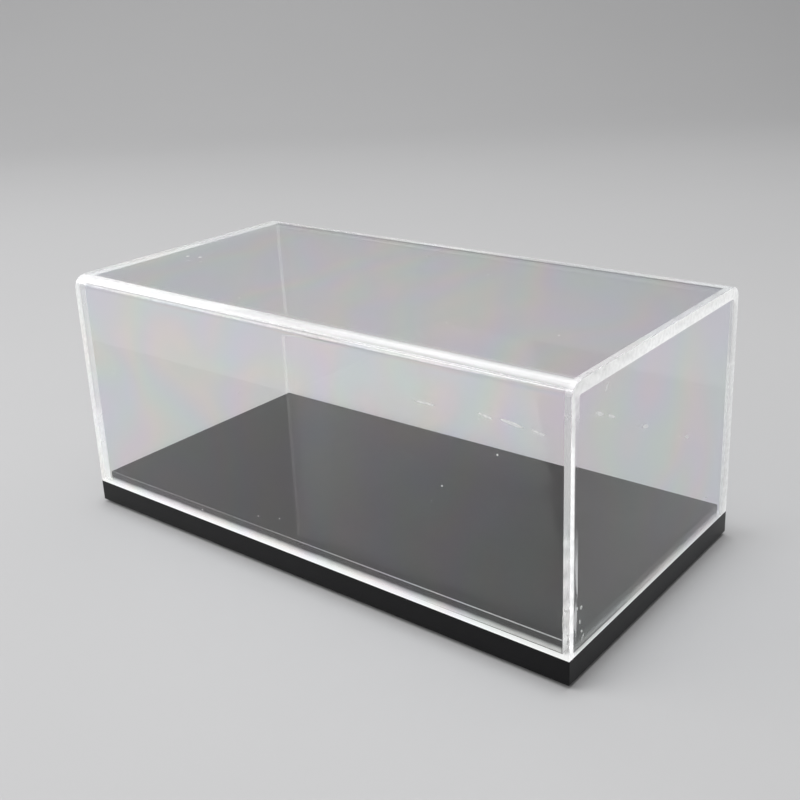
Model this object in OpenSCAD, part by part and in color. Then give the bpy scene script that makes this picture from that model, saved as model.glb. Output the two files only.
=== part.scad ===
// Clear display case for a small scale model.
// A sheet of clear acrylic is bent into a channel that makes the front, the top and the back.
// A flat panel is cemented into each end of the channel, flush with its ends.
// The cover stands loose on a black base plate. A smaller black plate, cemented on the base plate,
// fits inside the cover's walls and keeps it in place. Four thin discs under the base are its feet.
// X runs along the case, Y from its front (-Y) to its back (+Y), Z up.
// The origin is at the centre of the footprint, on the surface that the feet stand on.

/* [Cover] */
// Length of the case along X, over the ends of the bent sheet
case_length = 150; // [110:1:300]
// Depth of the case from front to back, outside the walls
case_depth = 78; // [60:1:200]
// Height of the clear cover, without the base
cover_height = 59.5; // [40:0.5:160]
// Thickness of the bent sheet
wall = 3; // [2:0.5:5]
// Thickness of the two flat end panels
end_panel_thickness = 2.5; // [2:0.5:5]
// Outside radius of the two bends along the top's long edges
bend_radius = 3.5; // [3:0.5:8]

/* [Base] */
// Thickness of the base plate
base_thickness = 6; // [4:1:12]
// Thickness of the raised plate that locates the cover
locating_thickness = 3; // [2:0.5:6]
// Gap between the raised plate and the cover's walls, on each side
locating_gap = 0.3; // [0.2:0.1:1]
// Width of the small bevel round the base plate's edges
base_bevel = 0.4; // [0.2:0.1:1]

/* [Feet] */
// Diameter of each foot disc
foot_diameter = 8; // [6:1:12]
// Thickness of each foot disc
foot_thickness = 0.5; // [0.5:0.5:3]
// Distance from the base plate's edges to a foot's centre
foot_inset = 10; // [8:1:20]

/* [Hidden] */
$fn = 96;

clear_acrylic = [0.86, 0.92, 0.95, 0.3];
black_acrylic = [0.03, 0.03, 0.035];
foot_vinyl = [0.75, 0.77, 0.78];

// Levels above the surface
base_bottom = foot_thickness;
base_top = base_bottom + base_thickness;

// Inside of the cover. A thick sheet bent tightly keeps a small inside radius.
least_inner_radius = 0.5;
inner_radius = max(bend_radius - wall, least_inner_radius);
inner_length = case_length - 2 * end_panel_thickness;
inner_depth = case_depth - 2 * wall;
inner_height = cover_height - wall;

// A length that carries a cutting shape past the surface it cuts
overshoot = 1;

// A flat outline that stands on the X axis, with its two upper corners rounded
module arch_outline(width, height, radius) {
    translate([-width / 2, 0])
        square([width, height - radius]);
    translate([-width / 2 + radius, 0])
        square([width - 2 * radius, height]);
    for (side = [-1, 1])
        translate([side * (width / 2 - radius), height - radius])
            circle(r = radius);
}

// Stands a flat outline up across the case and gives it a thickness along X
module across_case(thickness) {
    rotate([90, 0, 90])
        linear_extrude(height = thickness)
            children();
}

// A plate centred on the Z axis with its underside at Z = 0
module centred_plate(length, depth, thickness) {
    translate([-length / 2, -depth / 2, 0])
        cube([length, depth, thickness]);
}

// A square bar along the X axis, turned on its corner. Set on an edge of a plate, it cuts a bevel there.
module bevel_cutter(length, width) {
    side = width * sqrt(2);
    rotate([45, 0, 0])
        cube([length, side, side], center = true);
}

// Front wall, top and back wall, bent from one sheet
module cover_sheet() {
    color(clear_acrylic)
        translate([-case_length / 2, 0, base_top])
            across_case(case_length)
                difference() {
                    arch_outline(case_depth, cover_height, bend_radius);
                    translate([0, -overshoot])
                        arch_outline(inner_depth, inner_height + overshoot, inner_radius);
                }
}

// End wall, cemented between the legs of the bent sheet. Its outer face starts at x_start.
module end_panel(x_start) {
    color(clear_acrylic)
        translate([x_start, 0, base_top])
            across_case(end_panel_thickness)
                arch_outline(inner_depth, inner_height, inner_radius);
}

module end_panel_left() {
    end_panel(-case_length / 2);
}

module end_panel_right() {
    end_panel(case_length / 2 - end_panel_thickness);
}

// The black plate that the whole case stands on, bevelled round its lower edge
module base_plate() {
    color(black_acrylic)
        translate([0, 0, base_bottom])
            difference() {
                centred_plate(case_length, case_depth, base_thickness);
                for (side = [-1, 1]) {
                    translate([0, side * case_depth / 2, 0])
                        bevel_cutter(case_length + overshoot, base_bevel);
                    translate([side * case_length / 2, 0, 0])
                        rotate([0, 0, 90])
                            bevel_cutter(case_depth + overshoot, base_bevel);
                }
            }
}

// The raised black plate that the cover drops over
module locating_plate() {
    color(black_acrylic)
        translate([0, 0, base_top])
            centred_plate(
                inner_length - 2 * locating_gap,
                inner_depth - 2 * locating_gap,
                locating_thickness
            );
}

// One foot disc. x_side and y_side are -1 or 1 and choose the corner.
module foot(x_side, y_side) {
    color(foot_vinyl)
        translate([
            x_side * (case_length / 2 - foot_inset),
            y_side * (case_depth / 2 - foot_inset),
            0
        ])
            cylinder(d = foot_diameter, h = foot_thickness);
}

module foot_front_left() {
    foot(-1, -1);
}

module foot_front_right() {
    foot(1, -1);
}

module foot_back_left() {
    foot(-1, 1);
}

module foot_back_right() {
    foot(1, 1);
}

cover_sheet();
end_panel_left();
end_panel_right();
base_plate();
locating_plate();
foot_front_left();
foot_front_right();
foot_back_left();
foot_back_right();
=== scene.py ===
import math

import bmesh
import bpy
from mathutils import Matrix, Vector


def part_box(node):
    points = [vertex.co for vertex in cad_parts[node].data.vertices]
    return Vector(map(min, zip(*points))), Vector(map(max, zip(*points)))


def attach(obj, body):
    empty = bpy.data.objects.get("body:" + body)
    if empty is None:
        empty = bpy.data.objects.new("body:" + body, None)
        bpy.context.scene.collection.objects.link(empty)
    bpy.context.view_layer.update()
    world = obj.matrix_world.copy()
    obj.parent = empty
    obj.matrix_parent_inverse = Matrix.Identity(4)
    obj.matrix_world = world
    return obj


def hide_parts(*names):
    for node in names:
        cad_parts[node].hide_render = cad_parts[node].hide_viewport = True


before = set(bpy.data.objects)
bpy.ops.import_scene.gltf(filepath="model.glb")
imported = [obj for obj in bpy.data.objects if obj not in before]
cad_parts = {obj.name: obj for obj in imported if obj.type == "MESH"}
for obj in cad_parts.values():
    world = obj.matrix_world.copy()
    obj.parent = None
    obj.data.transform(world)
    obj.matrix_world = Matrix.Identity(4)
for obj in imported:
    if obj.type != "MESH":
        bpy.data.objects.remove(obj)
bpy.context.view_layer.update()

# A clear display case. Its cover is one sheet of acrylic bent into a channel, with a flat panel cemented
# into each end. It stands loose on a black base plate, round a smaller raised plate that keeps it in place.

# ---------------------------------------------------------------- sizes, in metres
MM = 0.001
SHEET_LOW, SHEET_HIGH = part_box("cover_sheet")
PANEL_LOW, PANEL_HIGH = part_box("end_panel_right")
BASE_LOW, BASE_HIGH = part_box("base_plate")
PLATE_LOW, PLATE_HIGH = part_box("locating_plate")

CASE_DEPTH = SHEET_HIGH.y - SHEET_LOW.y
WALL = PANEL_LOW.y - SHEET_LOW.y
END_THICKNESS = PANEL_HIGH.x - PANEL_LOW.x
LEG_TOP = SHEET_HIGH.z - 2 * WALL             # just below the bends
PLATE_GAP = PANEL_LOW.x - PLATE_HIGH.x        # between the locating plate and the cover's walls

# The outside of a bend starts gently on the top and turns faster near the wall
BEND_ACROSS = 4.2 * MM        # how far it reaches in along the top
BEND_DOWN = 3.5 * MM          # how far it reaches down the wall
BEND_FULLNESS = 2.3           # 2 is an ellipse, and more is squarer
INNER_BEND_RADIUS = 0.5 * MM
BEND_STEPS = 28

RIM_LIFT = 0.03 * MM          # hair-thin air gap between the cover's cut rim and the base
JOINT_OVERLAP = 0.01 * MM     # the cement makes one solid of the panels and the sheet
POLISHED_ARRIS = 0.1 * MM     # tiny bevel on the cover's polished edges
PLATE_ARRIS = 0.18 * MM       # bevel on the locating plate, which catches the light as a thin line
BASE_ARRIS = 0.12 * MM        # bevel on the base plate's upper and upright edges
BASE_BEVEL = 0.4 * MM         # the bevel round the base plate's lower edge
PAINTED_GLOW_HEIGHT = 1.4 * MM       # how far up the locating plate's sides the painted light of the cover's rim reaches
SHARP_EDGE = 60.0             # degrees: an edge that turns by more than this is bevelled
SMOOTH_EDGE = 22.0            # degrees: an edge that turns by less than this is shaded smooth

# ---------------------------------------------------------------- node helpers


def add(tree, kind, inputs=None, **settings):
    """Adds a node. An input that is given a socket is linked to it, and any other value is set.
    A colour is given as red, green and blue."""
    node = tree.nodes.new(kind)
    for name, value in settings.items():
        setattr(node, name, value)
    for name, value in (inputs or {}).items():
        socket = node.inputs[name]
        if isinstance(value, bpy.types.NodeSocket):
            tree.links.new(value, socket)
        elif socket.type == "RGBA":
            socket.default_value = (*value, 1.0)
        else:
            socket.default_value = value
    return node


def new_material(name):
    """A material with an empty node tree and an output, and the piece's own coordinates."""
    material = bpy.data.materials.new(name)
    material.use_nodes = True
    tree = material.node_tree
    tree.nodes.clear()
    output = tree.nodes.new("ShaderNodeOutputMaterial")
    at = add(tree, "ShaderNodeTexCoord").outputs["Object"]
    return material, tree, output, at


def show(tree, output, surface):
    """Makes a shader the material's surface."""
    tree.links.new(surface, output.inputs["Surface"])


def principled(tree, inputs):
    return add(tree, "ShaderNodeBsdfPrincipled", inputs).outputs[0]


def translucent(tree, colour):
    return add(tree, "ShaderNodeBsdfTranslucent", {"Color": colour}).outputs[0]


def transparent(tree, colour):
    return add(tree, "ShaderNodeBsdfTransparent", {"Color": colour}).outputs[0]


def blended(tree, share, first, second):
    """The first shader at share 0, the second at share 1."""
    return add(tree, "ShaderNodeMixShader", {0: share, 1: first, 2: second}).outputs[0]


def part_white(tree, share, colour, surface, roughness=0.6):
    """A shader that a share of white takes the place of. roughness is the white's."""
    white = principled(tree, {"Base Color": colour, "Roughness": roughness})
    return blended(tree, share, surface, white)


def maths(tree, operation, first, second=0.0):
    """The result of one Math node."""
    return add(tree, "ShaderNodeMath", {0: first, 1: second}, operation=operation).outputs[0]


def product(tree, first, *others):
    """All the values multiplied together."""
    for other in others:
        first = maths(tree, "MULTIPLY", first, other)
    return first


def inverse(tree, share):
    """What is left of 1 when the share is taken away."""
    return maths(tree, "SUBTRACT", 1.0, share)


def below(tree, value, limit):
    """1 below the limit, 0 above it."""
    return maths(tree, "LESS_THAN", value, limit)


def above(tree, value, limit):
    """1 above the limit, 0 below it."""
    return maths(tree, "GREATER_THAN", value, limit)


def between(tree, value, low, high, to_low=0.0, to_high=1.0):
    """Maps low..high to to_low..to_high, clamped."""
    limits = {"From Min": low, "From Max": high, "To Min": to_low, "To Max": to_high}
    return add(tree, "ShaderNodeMapRange", {"Value": value, **limits}).outputs["Result"]


def coordinate(tree, coordinates, axis):
    """One of the three coordinates: X, Y or Z."""
    return add(tree, "ShaderNodeSeparateXYZ", {"Vector": coordinates}).outputs[axis]


def turned(tree, coordinates, angles, stretch):
    """The coordinates turned by angles in degrees, then stretched."""
    radians = [math.radians(a) for a in angles]
    node = add(tree, "ShaderNodeMapping", {"Vector": coordinates, "Rotation": radians, "Scale": stretch})
    return node.outputs["Vector"]


def stretched(tree, coordinates, stretch):
    """The coordinates multiplied along each axis. A small number draws a pattern out along that axis."""
    return add(tree, "ShaderNodeMapping", {"Vector": coordinates, "Scale": stretch}).outputs["Vector"]


def noise(tree, coordinates, per_metre, detail=2.0, distortion=0.0):
    """Soft random values, mostly between 0.3 and 0.7."""
    settings = {"Scale": per_metre, "Detail": detail, "Distortion": distortion}
    return add(tree, "ShaderNodeTexNoise", {"Vector": coordinates, **settings}).outputs["Fac"]


def speck_mask(tree, coordinates, per_metre, reach, share):
    """1 inside scattered round specks, 0 elsewhere. A speck's radius is reach cells, and a share of the
    cells holds one."""
    cells = add(tree, "ShaderNodeTexVoronoi", {"Vector": coordinates, "Scale": per_metre})
    red = add(tree, "ShaderNodeSeparateColor", {"Color": cells.outputs["Color"]}).outputs["Red"]
    return product(tree, below(tree, cells.outputs["Distance"], reach), below(tree, red, share))


def smear_mask(tree, coordinates, centre, angles, size):
    """1 in most of an ellipsoid, falling to 0 at its surface. size is its half-lengths."""
    radians = [math.radians(a) for a in angles]
    inputs = {"Vector": coordinates, "Location": centre, "Rotation": radians, "Scale": size}
    node = add(tree, "ShaderNodeMapping", inputs, vector_type="TEXTURE")
    length = add(tree, "ShaderNodeVectorMath", {0: node.outputs["Vector"]}, operation="LENGTH")
    return between(tree, length.outputs["Value"], 0.8, 1.0, 1.0, 0.0)


def ramp(tree, value, stops):
    """The colour between stops, which are pairs of place and colour."""
    node = add(tree, "ShaderNodeValToRGB", {"Fac": value})
    elements = node.color_ramp.elements
    while len(elements) < len(stops):
        elements.new(0.5)
    for element, (position, colour) in zip(elements, stops):
        element.position = position
        element.color = (*colour, 1.0)
    return node.outputs["Color"]


def mix_colour(tree, share, first, second):
    """The first colour at share 0, the second at share 1."""
    return add(tree, "ShaderNodeMix", {0: share, 6: first, 7: second}, data_type="RGBA").outputs[2]


# ---------------------------------------------------------------- materials

ACRYLIC_IOR = 1.49
# The painted highlight along a bend: steps down the bend, as a part of its depth, and the share of painted
# white there
BEND_PAINTED_HIGHLIGHT = (
    (0.0, 0.05),
    (0.02, 0.28),
    (0.10, 0.50),
    (0.20, 0.56),
    (0.32, 0.36),
    (0.46, 0.08),
    (0.55, 0.0),
)
# The hues of the stress tint, which follow each other in a cycle
STRESS_HUES = (
    (0.0, (0.985, 0.935, 0.985)),
    (0.25, (0.935, 0.950, 0.995)),
    (0.5, (0.935, 0.985, 0.955)),
    (0.75, (0.995, 0.965, 0.935)),
    (1.0, (0.985, 0.935, 0.985)),
)
DUST_COLOUR = (0.86, 0.85, 0.83)
# The white of the painted light on the base plate and on the locating plate's sides
PAINTED_GLOW_COLOUR = (0.97, 0.96, 0.95)
MARK_COLOUR = (0.96, 0.96, 0.95)
SHEET_SHADOW = (0.96, 0.965, 0.97)    # what the sheet lets through of the light that crosses it


def let_lamps_through(tree, surface, tint):
    """Light from lamps and light that scattered off another surface go straight through the clear sheet."""
    path = add(tree, "ShaderNodeLightPath")
    clear = transparent(tree, tint)
    for kind in ("Is Diffuse Ray", "Is Shadow Ray"):
        surface = blended(tree, path.outputs[kind], surface, clear)
    return surface


def stress_tint(tree, at):
    """The faint rainbow that stress leaves in the sheet: pale hues in bands that follow the ends."""
    bands_per_metre = 36.0
    wander = 3.6
    from_middle = maths(tree, "ABSOLUTE", coordinate(tree, at, "X"))
    bands = product(tree, from_middle, bands_per_metre)
    shift = product(tree, noise(tree, at, per_metre=26.0, detail=1.0), wander)
    phase = maths(tree, "FRACT", maths(tree, "ADD", bands, shift))
    return ramp(tree, phase, STRESS_HUES)


def finger_smears(tree, at):
    """A few dry marks on the right end panel, the front wall and the top."""
    right, front, top = SHEET_HIGH.x, SHEET_LOW.y, SHEET_HIGH.z
    smears = (
        # place, turn about X or Y, half-lengths in mm
        ((right, -28.2 * MM, 56.5 * MM), (-27, 0, 0), (1.0, 2.0, 0.50)),
        ((right, -23.2 * MM, 54.2 * MM), (-27, 0, 0), (1.0, 1.9, 0.38)),
        ((right, -8.1 * MM, 46.6 * MM), (-20, 0, 0), (1.0, 1.5, 0.50)),
        ((right, -25.4 * MM, 61.1 * MM), (60, 0, 0), (1.0, 1.0, 0.40)),
        ((right, 12.9 * MM, 36.4 * MM), (-20, 0, 0), (1.0, 1.2, 0.40)),
        ((40.6 * MM, front, 55.0 * MM), (0, 0, 0), (3.0, 1.0, 0.32)),
        ((55.7 * MM, front, 55.5 * MM), (0, 9, 0), (1.9, 1.0, 0.38)),
        ((61.9 * MM, front, 55.3 * MM), (0, 7, 0), (3.1, 1.0, 0.45)),
        ((67.8 * MM, front, 54.8 * MM), (0, 8, 0), (1.9, 1.0, 0.30)),
        ((-64.0 * MM, -9.0 * MM, top), (0, 0, 0), (0.6, 0.6, 1.0)),
        ((-60.0 * MM, -8.1 * MM, top), (0, 0, 0), (0.6, 0.6, 1.0)),
    )
    mask = 0.0
    for place, angles, half_lengths in smears:
        one = smear_mask(tree, at, place, angles, [h * MM for h in half_lengths])
        mask = maths(tree, "MAXIMUM", mask, one)
    return product(tree, mask, between(tree, noise(tree, at, per_metre=900.0), 0.3, 0.6, 0.7, 1.0))


def clear_acrylic():
    """Polished clear sheet with faint stress tints, wiped smudges, dry finger marks and a few dust specks.
    The marks let some light through, most of all away from the front wall."""
    material, tree, output, at = new_material("clear_acrylic")
    specks = speck_mask(tree, at, per_metre=120.0, reach=0.026, share=0.5)
    marks = maths(tree, "MAXIMUM", specks, finger_smears(tree, at))
    wiped = noise(tree, at, per_metre=45.0, detail=3.0, distortion=0.6)
    sheet = principled(tree, {
        "Base Color": stress_tint(tree, at),
        "Roughness": between(tree, wiped, 0.52, 0.75, 0.0, 0.035),
        "IOR": ACRYLIC_IOR,
        "Transmission Weight": 1.0,
    })
    chalk = principled(tree, {"Base Color": MARK_COLOUR, "Roughness": 0.6})
    thinness = between(tree, coordinate(tree, at, "Y"), SHEET_LOW.y, SHEET_LOW.y + WALL, 0.25, 0.6)
    film = blended(tree, thinness, chalk, translucent(tree, MARK_COLOUR))
    surface = blended(tree, product(tree, marks, 0.85), sheet, film)
    show(tree, output, let_lamps_through(tree, surface, SHEET_SHADOW))
    return material


def sawn_acrylic():
    """The cover's sawn lower rim: acrylic whose fine saw marks scatter light and look white."""
    material, tree, output, at = new_material("sawn_acrylic")
    marks = noise(tree, at, per_metre=1800.0, detail=3.0)
    surface = principled(tree, {
        "Base Color": mix_colour(tree, marks, (0.88, 0.88, 0.88), (0.97, 0.97, 0.96)),
        "Roughness": between(tree, marks, 0.3, 0.7, 0.35, 0.6),
        "IOR": ACRYLIC_IOR,
        "Transmission Weight": 0.12,
    })
    show(tree, output, surface)
    return material


def bent_acrylic():
    """The bends along the top. The heat left them slightly wavy. Their upper part is painted white as a
    painted highlight."""
    material, tree, output, at = new_material("bent_acrylic")
    waves = noise(tree, stretched(tree, at, (0.25, 1.0, 1.0)), per_metre=160.0, detail=1.0)
    clear = principled(tree, {
        "Base Color": stress_tint(tree, at),
        "Roughness": between(tree, waves, 0.3, 0.7, 0.02, 0.06),
        "IOR": ACRYLIC_IOR,
        "Transmission Weight": 1.0,
    })
    # Painted highlight: the upper part of the bend is painted white, most a little way down, fading below
    below_top = between(tree, coordinate(tree, at, "Z"), SHEET_HIGH.z, SHEET_HIGH.z - BEND_DOWN)
    painted_highlight = ramp(tree, below_top, [(level, (share, share, share)) for level, share in BEND_PAINTED_HIGHLIGHT])
    white = mix_colour(tree, waves, (0.92, 0.92, 0.93), (0.98, 0.98, 0.98))
    surface = part_white(tree, painted_highlight, white, clear, roughness=0.25)
    show(tree, output, let_lamps_through(tree, surface, SHEET_SHADOW))
    return material


def cut_acrylic():
    """The sheet's milled ends, with a white translucent frost that is painted light: it stands in for the
    bright strips of light along these edges. It is thick on the left. On the right it thins out towards the
    front, and the front leg is clear but for a narrow strip of it along its outer edge."""
    thick, thin = 0.9, 0.5
    thin_at, thick_at = -30 * MM, -4 * MM      # on the right, from front to back
    clear_from = SHEET_LOW.y + 1.5 * MM        # on the right front leg, in from its outer edge
    clear_fade = 0.3 * MM
    leg_fade = 4 * MM                          # down from the leg's top
    material, tree, output, at = new_material("cut_acrylic")
    lines = noise(tree, stretched(tree, at, (1.0, 0.3, 0.3)), per_metre=2600.0, detail=2.0)
    clear = principled(tree, {
        "Base Color": mix_colour(tree, lines, (0.97, 0.97, 0.97), (1.0, 1.0, 1.0)),
        "Roughness": between(tree, lines, 0.3, 0.7, 0.03, 0.08),
        "IOR": ACRYLIC_IOR,
        "Transmission Weight": 1.0,
    })
    depth = coordinate(tree, at, "Y")
    on_leg = between(tree, coordinate(tree, at, "Z"), LEG_TOP - leg_fade, LEG_TOP, 1.0, 0.0)
    in_from_front = between(tree, depth, clear_from, clear_from + clear_fade)
    cleared = product(tree, on_leg, in_from_front, below(tree, depth, PANEL_LOW.y))
    # Painted light: the share of white frost, thin at the right front, thick at the right back and on the
    # left end
    right_painted_share = between(tree, depth, thin_at, thick_at, thin, thick)
    right_painted_light = product(tree, right_painted_share, inverse(tree, cleared))
    left_painted_light = product(tree, below(tree, coordinate(tree, at, "X"), 0.0), thick)
    streaks = between(tree, lines, 0.3, 0.7, 0.8, 1.0)
    painted_light = product(tree, maths(tree, "MAXIMUM", left_painted_light, right_painted_light), streaks)
    surface = blended(tree, painted_light, clear, translucent(tree, (0.96, 0.96, 0.95)))
    show(tree, output, let_lamps_through(tree, surface, (0.97, 0.97, 0.975)))
    return material


def cemented_joint():
    """The cement between panel and sheet. It is hazy and haziest at the back, but at the near corner it is
    clear below the top, with streaks low down."""
    streaks_full, streaks_gone = 20 * MM, 36 * MM      # heights
    clear_below = SHEET_HIGH.z - 1.2 * WALL
    hazier_from, haziest_at = 30 * MM, 35 * MM         # from front to back
    material, tree, output, at = new_material("cemented_joint")
    depth = coordinate(tree, at, "Y")
    height = coordinate(tree, at, "Z")
    near_corner = product(tree, below(tree, depth, 0.0), above(tree, coordinate(tree, at, "X"), 0.0))
    slanting = turned(tree, at, (0.0, 30.0, 0.0), (1.0, 1.0, 0.22))
    runs = noise(tree, slanting, per_metre=520.0, detail=1.0, distortion=0.3)
    low_down = between(tree, height, streaks_full, streaks_gone, 0.7, 0.0)
    streaky = product(tree, between(tree, runs, 0.38, 0.66), low_down, near_corner)
    cloud = between(tree, noise(tree, at, per_metre=60.0, detail=2.0), 0.3, 0.7, 0.22, 0.32)
    extra = between(tree, depth, hazier_from, haziest_at, 0.0, 0.14)
    left_clear = product(tree, near_corner, below(tree, height, clear_below))
    hazy = product(tree, maths(tree, "ADD", cloud, extra), inverse(tree, left_clear))
    share = maths(tree, "MAXIMUM", streaky, hazy)
    clear = transparent(tree, (1.0, 1.0, 1.0))
    show(tree, output, part_white(tree, share, (0.90, 0.90, 0.90), clear))
    return material


def solvent_cement():
    """Dried drops of cement: clear, slightly clouded."""
    material, tree, output, at = new_material("solvent_cement")
    cloud = noise(tree, at, per_metre=2500.0, detail=3.0)
    surface = principled(tree, {
        "Base Color": mix_colour(tree, cloud, (0.90, 0.90, 0.89), (0.98, 0.98, 0.98)),
        "Roughness": between(tree, cloud, 0.3, 0.7, 0.05, 0.3),
        "IOR": ACRYLIC_IOR,
        "Transmission Weight": 0.55,
    })
    show(tree, output, surface)
    return material


def black_surface(tree, at, sheen):
    """Gloss black sheet with wiped smudges, wandering fine wipe lines and a little dust."""
    specks = speck_mask(tree, at, per_metre=160.0, reach=0.028, share=0.3)
    smudges = noise(tree, at, per_metre=30.0, detail=2.0, distortion=0.8)
    lines = noise(tree, turned(tree, at, (0.0, 0.0, 25.0), (0.06, 1.0, 1.0)), per_metre=700.0, detail=1.0)
    smudged = between(tree, smudges, 0.4, 0.7, 0.03, 0.07)
    rough = maths(tree, "ADD", smudged, between(tree, lines, 0.62, 0.75, 0.0, 0.03))
    shade = mix_colour(tree, noise(tree, at, per_metre=90.0), (0.002, 0.002, 0.002), (0.004, 0.004, 0.005))
    return principled(tree, {
        "Base Color": mix_colour(tree, product(tree, specks, 0.6), shade, DUST_COLOUR),
        "Roughness": between(tree, specks, 0.0, 1.0, rough, 0.4),
        "IOR": ACRYLIC_IOR,
        "Specular IOR Level": sheen,
    })


def black_acrylic():
    """The locating plate's polished top."""
    material, tree, output, at = new_material("black_acrylic")
    show(tree, output, black_surface(tree, at, sheen=0.5))
    return material


def base_black():
    """The base plate, duller than the locating plate. In the gap round that plate its top is painted white
    as painted light, thinnest near the right front corner."""
    near_corner = (SHEET_HIGH.x, SHEET_LOW.y, BASE_HIGH.z)
    thin_within, thick_beyond = 15 * MM, 45 * MM      # distances from that corner
    material, tree, output, at = new_material("base_black")
    past_end = maths(tree, "SUBTRACT", maths(tree, "ABSOLUTE", coordinate(tree, at, "X")), PLATE_HIGH.x)
    past_side = maths(tree, "SUBTRACT", maths(tree, "ABSOLUTE", coordinate(tree, at, "Y")), PLATE_HIGH.y)
    past_plate = maths(tree, "MAXIMUM", past_end, past_side)
    in_gap = between(tree, past_plate, PLATE_GAP, 1.5 * PLATE_GAP, 1.0, 0.0)
    on_top = above(tree, coordinate(tree, at, "Z"), BASE_HIGH.z - BASE_ARRIS / 2)
    away = add(tree, "ShaderNodeVectorMath", {0: at, 1: near_corner}, operation="DISTANCE")
    thickness = between(tree, away.outputs["Value"], thin_within, thick_beyond, 0.2, 0.9)
    # Painted light: white on the top in the gap round the locating plate
    painted_light = product(tree, thickness, in_gap, on_top)
    show(tree, output, part_white(tree, painted_light, PAINTED_GLOW_COLOUR, black_surface(tree, at, sheen=0.2)))
    return material


def plate_side():
    """The locating plate's sides. Low down they are painted white, painted light of the cover's bright rim
    that fades upwards. On the right side it is thinner towards the front."""
    full_from, thinnest_at = 5 * MM, -32 * MM      # from back to front
    unevenness = 0.06 * MM
    material, tree, output, at = new_material("plate_side")
    on_right = above(tree, coordinate(tree, at, "X"), PLATE_HIGH.x - PLATE_ARRIS)
    frontwards = between(tree, coordinate(tree, at, "Y"), full_from, thinnest_at, 0.0, 0.6)
    thickness = inverse(tree, product(tree, on_right, frontwards))
    uneven = between(tree, noise(tree, at, per_metre=260.0), 0.3, 0.7, -unevenness, unevenness)
    height = maths(tree, "ADD", coordinate(tree, at, "Z"), uneven)
    # Painted light of the cover's bright rim, fading up the sides
    faded = between(tree, height, PLATE_LOW.z, PLATE_LOW.z + PAINTED_GLOW_HEIGHT, 0.95, 0.0)
    painted_light = product(tree, faded, thickness)
    show(tree, output, part_white(tree, painted_light, PAINTED_GLOW_COLOUR, black_surface(tree, at, sheen=0.5)))
    return material


def arris_painted_highlight():
    """The bevelled upper edge of the locating plate, painted paler than its polished faces as a painted
    highlight, most of all at the right."""
    dark_until, pale_from = -20 * MM, 50 * MM
    material, tree, output, at = new_material("arris_painted_highlight")
    arris_mottle = noise(tree, at, per_metre=900.0, detail=3.0)
    rightwards = between(tree, coordinate(tree, at, "X"), dark_until, pale_from)
    # Painted highlight: near black at the left, pale at the right
    pale = mix_colour(tree, arris_mottle, (0.24, 0.24, 0.25), (0.42, 0.42, 0.42))
    surface = principled(tree, {
        "Base Color": mix_colour(tree, rightwards, (0.05, 0.05, 0.05), pale),
        "Roughness": between(tree, arris_mottle, 0.3, 0.7, 0.22, 0.4),
        "IOR": ACRYLIC_IOR,
        "Specular IOR Level": 0.2,
    })
    show(tree, output, surface)
    return material


def clear_vinyl():
    """Soft milky vinyl of the foot discs."""
    material, tree, output, at = new_material("clear_vinyl")
    cloud = noise(tree, at, per_metre=500.0, detail=3.0)
    surface = principled(tree, {
        "Base Color": mix_colour(tree, cloud, (0.66, 0.68, 0.69), (0.78, 0.80, 0.81)),
        "Roughness": between(tree, cloud, 0.3, 0.7, 0.35, 0.5),
        "Transmission Weight": 0.3,
    })
    show(tree, output, surface)
    return material


def pale_paint():
    """Plain pale paint of the floor and backdrop, with a barely visible mottle."""
    material, tree, output, at = new_material("pale_paint")
    mottle = noise(tree, at, per_metre=6.0, detail=4.0)
    colour = mix_colour(tree, mottle, (0.47, 0.47, 0.475), (0.49, 0.49, 0.495))
    show(tree, output, principled(tree, {"Base Color": colour, "Roughness": 0.6}))
    return material


COVER_MATERIALS = (clear_acrylic(), sawn_acrylic(), cemented_joint(), cut_acrylic(), bent_acrylic())
CLEAR_SLOT, SAWN_SLOT, JOINT_SLOT, CUT_SLOT, BENT_SLOT = range(5)
PLATE_MATERIALS = (black_acrylic(), arris_painted_highlight(), plate_side())
TOP_SLOT, ARRIS_SLOT, SIDE_SLOT = range(3)
BASE_BLACK = base_black()
VINYL = clear_vinyl()
CEMENT = solvent_cement()

# ---------------------------------------------------------------- mesh helpers


def bevel(mesh, edges, width, steps=1):
    """Bevels some edges of a mesh, flat with one step and rounded with more."""
    return bmesh.ops.bevel(mesh, geom=edges, offset=width, segments=steps, profile=0.5, affect="EDGES")


def bevel_sharp_edges(mesh, width, steps, spared=()):
    """Bevels each sharp edge, but none of a face in a spared slot."""
    sharp = [edge for edge in mesh.edges if edge.calc_face_angle(0.0) > math.radians(SHARP_EDGE)]
    free = [e for e in sharp if all(face.material_index not in spared for face in e.link_faces)]
    bevel(mesh, free, width, steps)


def finish_piece(name, mesh, body, materials, replaced=None):
    """Turns a bmesh into a piece of the object that rides on a body."""
    bmesh.ops.recalc_face_normals(mesh, faces=mesh.faces)
    data = bpy.data.meshes.new(name)
    mesh.to_mesh(data)
    mesh.free()
    for face in data.polygons:
        face.use_smooth = True
    data.set_sharp_from_angle(angle=math.radians(SMOOTH_EDGE))
    for material in materials:
        data.materials.append(material)
    piece = bpy.data.objects.new(name, data)
    bpy.context.scene.collection.objects.link(piece)
    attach(piece, body)
    if replaced:
        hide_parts(replaced)


def box_mesh(low, high):
    """A box between two corners."""
    mesh = bmesh.new()
    bmesh.ops.create_cube(mesh, size=1.0)
    bmesh.ops.scale(mesh, vec=high - low, verts=mesh.verts)
    bmesh.ops.translate(mesh, vec=(high + low) / 2, verts=mesh.verts)
    return mesh


def row_of_points(mesh, outline, x):
    """An outline's (y, z) points as vertices at one place along the case."""
    return [mesh.verts.new((x, y, z)) for y, z in outline]


def quad(mesh, first_row, second_row, step):
    """The face between two rows of points, one step along them."""
    return mesh.faces.new((first_row[step], first_row[step + 1], second_row[step + 1], second_row[step]))


# ---------------------------------------------------------------- the cover


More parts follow.
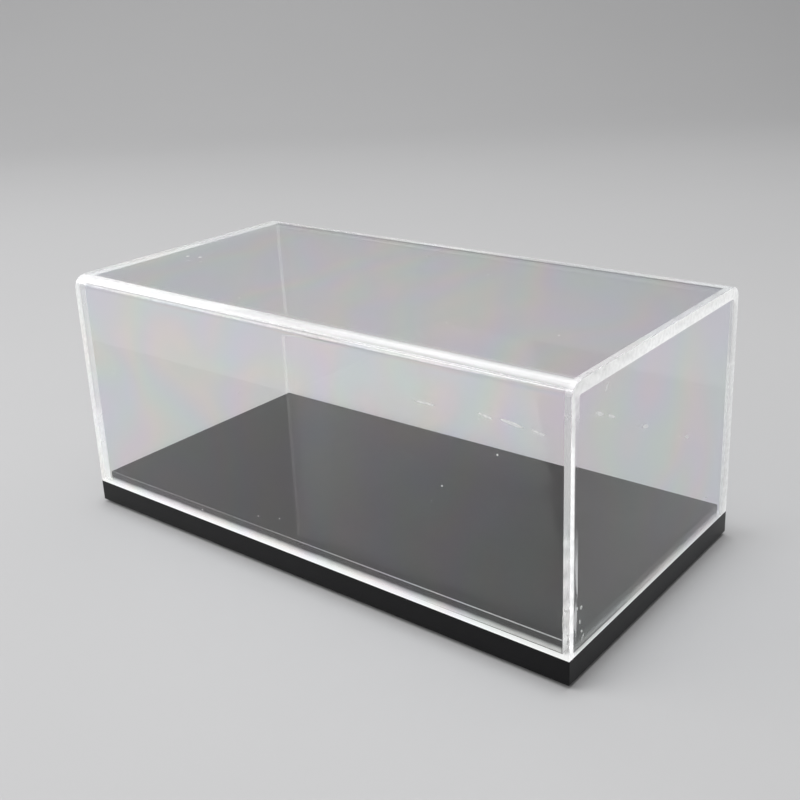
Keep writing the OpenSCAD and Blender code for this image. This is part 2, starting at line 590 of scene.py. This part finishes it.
def arch(depth, foot, top, across, down, fullness=2.0):
    """An arch's outline as (y, z) points: up the front leg, over the top and down the back leg."""
    side = depth / 2
    front = []
    for step in range(BEND_STEPS + 1):
        angle = math.pi / 2 * step / BEND_STEPS
        inwards = across * (1.0 - max(math.cos(angle), 0.0) ** (2.0 / fullness))
        upwards = down * math.sin(angle) ** (2.0 / fullness)
        front.append((-side + inwards, top - down + upwards))
    back = [(-y, z) for y, z in reversed(front)]
    return [(-side, foot), *front, *back, (side, foot)]


def make_cover_sheet():
    """Bends the sheet into a channel, marking where it is cemented to the end panels."""
    foot = SHEET_LOW.z + RIM_LIFT
    outer = arch(CASE_DEPTH, foot, SHEET_HIGH.z, BEND_ACROSS, BEND_DOWN, BEND_FULLNESS)
    inner = arch(CASE_DEPTH - 2 * WALL, foot, SHEET_HIGH.z - WALL, INNER_BEND_RADIUS, INNER_BEND_RADIUS)
    steps = range(len(outer) - 1)
    # The flat stretches of an arch are the first, the middle and the last
    bends = [step for step in steps if step % (BEND_STEPS + 1) != 0]
    mesh = bmesh.new()
    stations = (SHEET_LOW.x, SHEET_LOW.x + END_THICKNESS, SHEET_HIGH.x - END_THICKNESS, SHEET_HIGH.x)
    outer_rows = [row_of_points(mesh, outer, x) for x in stations]
    inner_rows = [row_of_points(mesh, inner, x) for x in stations]
    for start, inside_slot in enumerate((JOINT_SLOT, CLEAR_SLOT, JOINT_SLOT)):
        outer_row, next_outer = outer_rows[start:start + 2]
        inner_row, next_inner = inner_rows[start:start + 2]
        for step in steps:
            outside_slot = BENT_SLOT if step in bends else CLEAR_SLOT
            quad(mesh, outer_row, next_outer, step).material_index = outside_slot
            quad(mesh, inner_row, next_inner, step).material_index = inside_slot
        for leg in (0, -1):
            rim = mesh.faces.new((outer_row[leg], next_outer[leg], next_inner[leg], inner_row[leg]))
            rim.material_index = SAWN_SLOT
    for end in (0, -1):
        for step in steps:
            quad(mesh, outer_rows[end], inner_rows[end], step).material_index = CUT_SLOT
    bmesh.ops.recalc_face_normals(mesh, faces=mesh.faces)
    bevel_sharp_edges(mesh, POLISHED_ARRIS, 2, spared=(JOINT_SLOT, SAWN_SLOT))
    finish_piece("clear_cover_sheet", mesh, "cover", COVER_MATERIALS, "cover_sheet")


def make_end_panel(node, name):
    """A flat panel, whose front, top and back edges are cemented to the sheet."""
    low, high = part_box(node)
    depth = high.y - low.y + 2 * JOINT_OVERLAP
    top = high.z + JOINT_OVERLAP
    outline = arch(depth, low.z + RIM_LIFT, top, INNER_BEND_RADIUS, INNER_BEND_RADIUS)
    mesh = bmesh.new()
    left_row, right_row = (row_of_points(mesh, outline, x) for x in (low.x, high.x))
    mesh.faces.new(left_row)
    mesh.faces.new(right_row)
    for step in range(len(outline) - 1):
        quad(mesh, left_row, right_row, step).material_index = JOINT_SLOT
    rim = mesh.faces.new((left_row[0], right_row[0], right_row[-1], left_row[-1]))
    rim.material_index = SAWN_SLOT
    finish_piece(name, mesh, "cover", COVER_MATERIALS, node)


def drop_mesh(centre, half_lengths, slant):
    """A rounded drop with a slightly uneven surface. slant turns it about X, in degrees."""
    unevenness, waves = 0.12, 4.0
    own_phase = centre[1] * 9000.0      # so that no two drops are alike
    mesh = bmesh.new()
    bmesh.ops.create_icosphere(mesh, subdivisions=3, radius=1.0)
    turn = Matrix.Rotation(math.radians(slant), 3, "X")
    for vertex in mesh.verts:
        bump = 1.0 + unevenness * math.sin(waves * vertex.co.z + own_phase) * vertex.co.x
        shaped = Vector([c * h for c, h in zip(vertex.co * bump, half_lengths)])
        vertex.co = turn @ shaped + Vector(centre)
    return mesh


def make_cement_drops():
    """Drops that ran out of the joint when the cover was made, dried on the inside of the right panel."""
    half_thickness = 0.22 * MM
    drops = (
        # y, z, half-lengths along y and z, all in mm, and slant
        (-32.8, 15.6, 0.34, 0.42, -20),
        (-34.4, 16.1, 0.14, 0.42, 0),
        (-33.3, 12.5, 0.13, 0.50, 0),
        (-32.5, 9.9, 0.26, 0.28, 0),
        (-32.1, 8.3, 0.16, 0.85, -38),
    )
    for number, (y, z, half_y, half_z, slant) in enumerate(drops, 1):
        mesh = drop_mesh((PANEL_LOW.x, y * MM, z * MM), (half_thickness, half_y * MM, half_z * MM), slant)
        finish_piece("cement_drop_%d" % number, mesh, "cover", [CEMENT])


def make_cement_fillet():
    """Cement squeezed out of the right front joint, on the inside and mostly along the panel. It is widest
    in the middle and runs out at both ends."""
    low, high = 11.4 * MM, 15.8 * MM
    least_width, most_width = 0.05 * MM, 1.0 * MM
    sunk = 0.02 * MM      # into the panel and the sheet
    steps = 40
    rings = []
    mesh = bmesh.new()
    for step in range(steps + 1):
        share = step / steps
        swell = math.sin(math.pi * share) ** 0.7
        ripple = 0.8 + 0.2 * math.sin(17.0 * share)
        width = least_width + (most_width - least_width) * swell * ripple
        corner = Vector((PANEL_LOW.x + sunk, PANEL_LOW.y - sunk, low + (high - low) * share))
        points = (
            corner,
            corner + Vector((-0.18 * width, 0, 0)),
            corner + Vector((-0.16 * width, 0.5 * width, 0)),
            corner + Vector((0, width, 0)),
        )
        rings.append([mesh.verts.new(point) for point in points])
    for ring, following in zip(rings, rings[1:]):
        for side in range(4):
            other = (side + 1) % 4
            mesh.faces.new((ring[side], ring[other], following[other], following[side]))
    mesh.faces.new(rings[0])
    mesh.faces.new(rings[-1])
    finish_piece("cement_fillet", mesh, "cover", [CEMENT])


make_cover_sheet()
make_end_panel("end_panel_left", "clear_end_panel_left")
make_end_panel("end_panel_right", "clear_end_panel_right")
make_cement_drops()
make_cement_fillet()

# ---------------------------------------------------------------- the base


def make_base_plate():
    """A polished slab with a bevel round its lower edge and barely eased other edges."""
    mesh = box_mesh(BASE_LOW, BASE_HIGH)
    lower = [e for e in mesh.edges if all(v.co.z < BASE_LOW.z + BASE_BEVEL / 2 for v in e.verts)]
    bevel(mesh, lower, BASE_BEVEL)
    bevel_sharp_edges(mesh, BASE_ARRIS, 2)
    finish_piece("black_base_plate", mesh, "base", [BASE_BLACK], "base_plate")


def make_locating_plate():
    """The raised plate. Its long upper edges are bevelled and carry a painted highlight, and show as a thin
    bright line.
    """
    mesh = box_mesh(PLATE_LOW, PLATE_HIGH)
    upper = [e for e in mesh.edges if all(v.co.z > PLATE_HIGH.z - PLATE_ARRIS / 2 for v in e.verts)]
    bevelled = bevel(mesh, upper, PLATE_ARRIS)
    for face in mesh.faces:
        upright = abs(face.normal.z) < 0.1
        face.material_index = SIDE_SLOT if upright else TOP_SLOT
    for face in bevelled["faces"]:
        if abs(face.normal.y) > abs(face.normal.x):
            face.material_index = ARRIS_SLOT
    finish_piece("black_locating_plate", mesh, "base", PLATE_MATERIALS, "locating_plate")


def make_foot(node):
    """A thin disc with a rounded rim."""
    low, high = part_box(node)
    radius = (high.x - low.x) / 2
    thickness = high.z - low.z
    centre = Matrix.Translation((low + high) / 2)
    mesh = bmesh.new()
    bmesh.ops.create_cone(
        mesh, cap_ends=True, segments=64, radius1=radius, radius2=radius, depth=thickness, matrix=centre
    )
    bevel_sharp_edges(mesh, thickness * 0.3, 3)
    finish_piece("vinyl_" + node, mesh, "base", [VINYL], node)


make_base_plate()
make_locating_plate()
for foot_node in ("foot_front_left", "foot_front_right", "foot_back_left", "foot_back_right"):
    make_foot(foot_node)

# ---------------------------------------------------------------- stage, light and camera

FLOOR_REACH = 3.0             # in front of the case and to either side, in metres
BACKDROP_DISTANCE = 0.7
BACKDROP_BEND = 0.7           # radius of the curve between floor and backdrop
BACKDROP_BEND_STEPS = 24
BACKDROP_HEIGHT = 1.6

IMAGE_SIDE = 800
SENSOR_WIDTH = 36.0           # in mm, as the camera data has it
FOCAL_PIXELS = 1105.1
AXIS_ABOVE_CENTRE = 60        # pixels: the picture is a crop from below the lens axis
CAMERA_PLACE = (0.16978, -0.20488, 0.13955)
CAMERA_AZIMUTH = 39.09        # degrees, as the next two
CAMERA_ELEVATION = 18.61
CAMERA_ROLL = -2.50

LAMP_TARGET = Vector((0, 0, 0.03))
WORLD_STRENGTH = 0.4


def make_sweep():
    """A floor that curves up into a backdrop behind the object, square to the camera."""
    profile = [(-FLOOR_REACH, 0.0), (BACKDROP_DISTANCE, 0.0)]
    for step in range(1, BACKDROP_BEND_STEPS + 1):
        angle = math.pi / 2 * step / BACKDROP_BEND_STEPS
        across = BACKDROP_DISTANCE + BACKDROP_BEND * math.sin(angle)
        profile.append((across, BACKDROP_BEND * (1 - math.cos(angle))))
    profile.append((BACKDROP_DISTANCE + BACKDROP_BEND, BACKDROP_HEIGHT))
    mesh = bmesh.new()
    left_row, right_row = (row_of_points(mesh, profile, x) for x in (-FLOOR_REACH, FLOOR_REACH))
    for step in range(len(profile) - 1):
        quad(mesh, right_row, left_row, step)
    bmesh.ops.recalc_face_normals(mesh, faces=mesh.faces)
    data = bpy.data.meshes.new("studio_sweep")
    mesh.to_mesh(data)
    mesh.free()
    for face in data.polygons:
        face.use_smooth = True
    data.materials.append(pale_paint())
    sweep = bpy.data.objects.new("studio_sweep", data)
    bpy.context.scene.collection.objects.link(sweep)
    sweep.rotation_euler = (0, 0, math.radians(CAMERA_AZIMUTH))


def make_lamp(name, place, size, watts):
    """A soft rectangular lamp that points at the case."""
    data = bpy.data.lights.new(name, "AREA")
    data.shape = "RECTANGLE"
    data.size, data.size_y = size
    data.energy = watts
    lamp = bpy.data.objects.new(name, data)
    bpy.context.scene.collection.objects.link(lamp)
    lamp.location = place
    lamp.rotation_euler = (LAMP_TARGET - Vector(place)).to_track_quat("-Z", "Y").to_euler()


def make_world():
    """An even white light from all round."""
    world = bpy.data.worlds.new("studio")
    bpy.context.scene.world = world
    world.use_nodes = True
    background = world.node_tree.nodes["Background"]
    background.inputs["Color"].default_value = (1.0, 1.0, 1.0, 1.0)
    background.inputs["Strength"].default_value = WORLD_STRENGTH


def make_camera():
    """The camera at the photograph's angle, a little tilted."""
    data = bpy.data.cameras.new("camera")
    data.sensor_width = SENSOR_WIDTH
    data.lens = FOCAL_PIXELS / IMAGE_SIDE * SENSOR_WIDTH
    data.shift_y = -AXIS_ABOVE_CENTRE / IMAGE_SIDE
    data.clip_start = 0.01
    data.clip_end = 20.0
    camera = bpy.data.objects.new("camera", data)
    bpy.context.scene.collection.objects.link(camera)
    bpy.context.scene.camera = camera
    azimuth, elevation, roll = (math.radians(a) for a in (CAMERA_AZIMUTH, CAMERA_ELEVATION, CAMERA_ROLL))
    back = Vector((
        math.sin(azimuth) * math.cos(elevation),
        -math.cos(azimuth) * math.cos(elevation),
        math.sin(elevation),
    ))
    level = Vector((0, 0, 1)).cross(back).normalized()
    upright = back.cross(level)
    right = math.cos(roll) * level + math.sin(roll) * upright
    up = -math.sin(roll) * level + math.cos(roll) * upright
    camera.matrix_world = Matrix.Translation(CAMERA_PLACE) @ Matrix((right, up, back)).transposed().to_4x4()


make_camera()
make_sweep()
make_world()
make_lamp("overhead", place=(-0.05, 0.10, 0.90), size=(1.0, 1.0), watts=7.0)
make_lamp("side", place=(-0.85, -0.65, 0.70), size=(0.9, 0.7), watts=9.0)

# The bright strips along the edges are images of the cover's rim, after dozens of reflections in the sheet
scene = bpy.context.scene
scene.view_settings.view_transform = "Standard"
scene.cycles.max_bounces = 96
scene.cycles.glossy_bounces = 72
scene.cycles.transmission_bounces = 72
scene.cycles.transparent_max_bounces = 48
